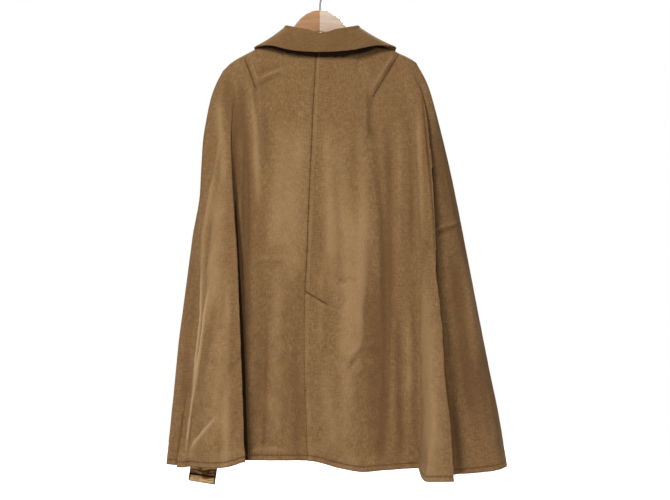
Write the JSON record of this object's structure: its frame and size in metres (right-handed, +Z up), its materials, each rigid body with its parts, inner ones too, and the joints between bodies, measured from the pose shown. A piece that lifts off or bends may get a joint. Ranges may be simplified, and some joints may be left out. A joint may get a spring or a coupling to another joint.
{
  "type": "wool cape on a wooden hanger",
  "caption": "Hip-length wool twill cape with a fold-over collar and lapped front, hanging from a wooden clothes hanger with a wire hook, its belt hung inside.",
  "frame": {"origin": "inside top of the hanger's hook, where a rail holds it", "axes": "+Z up along the hanging cloth, +Y towards the cape's front, -Y its back, +X the wearer's right"},
  "size_m": [0.715, 0.2398, 1.0741],
  "materials": {
    "wool_cloth": "khaki tan wool twill with a short nap",
    "belt_cloth": "golden tan satin",
    "button_resin": "dark brown horn-like resin",
    "hanger_wood_warm": "satin lacquered wood, orange brown",
    "hanger_wood_pale": "satin lacquered wood, pale",
    "hook_steel": "bright plated wire"
  },
  "bodies": {
    "root": {"back_left": "wool_cloth", "back_right": "wool_cloth", "vent_underlap": "wool_cloth", "front_left": "wool_cloth", "front_right": "wool_cloth", "collar": "wool_cloth", "belt": "belt_cloth", "belt_loop": "wool_cloth", "button_1": "button_resin", "button_2": "button_resin", "button_3": "button_resin", "button_4": "button_resin", "hanger_left": "hanger_wood_warm", "hanger_right": "hanger_wood_pale", "hook": "hook_steel"}
  },
  "joints": []
}
